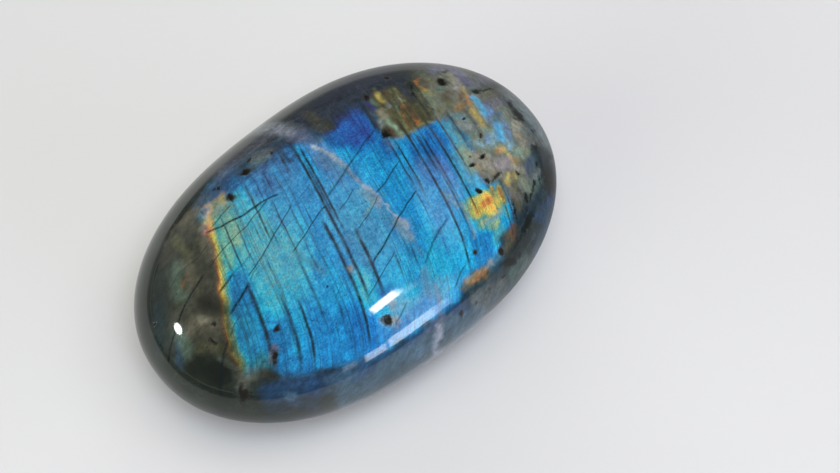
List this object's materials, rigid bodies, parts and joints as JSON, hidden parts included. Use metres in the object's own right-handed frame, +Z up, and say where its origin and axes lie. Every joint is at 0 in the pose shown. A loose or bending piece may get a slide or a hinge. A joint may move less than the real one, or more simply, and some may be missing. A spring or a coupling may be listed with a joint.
{
  "type": "polished labradorite palm stone",
  "caption": "Oval polished labradorite palm stone with a domed crown, rounded belly and a flat-lapped underside to rest on.",
  "frame": {"origin": "middle of the stone's footprint, on the surface that its flat underside rests on", "axes": "+X along the stone's length, +Y across it, +Z up through the crown"},
  "size_m": [0.0654, 0.0424, 0.0245],
  "materials": {
    "labradorite": "high gloss polish over grey feldspar that flashes blue, cyan and gold, with black specks and fine dark twin lines"
  },
  "bodies": {
    "root": {"labradorite_stone": "labradorite"}
  },
  "joints": []
}
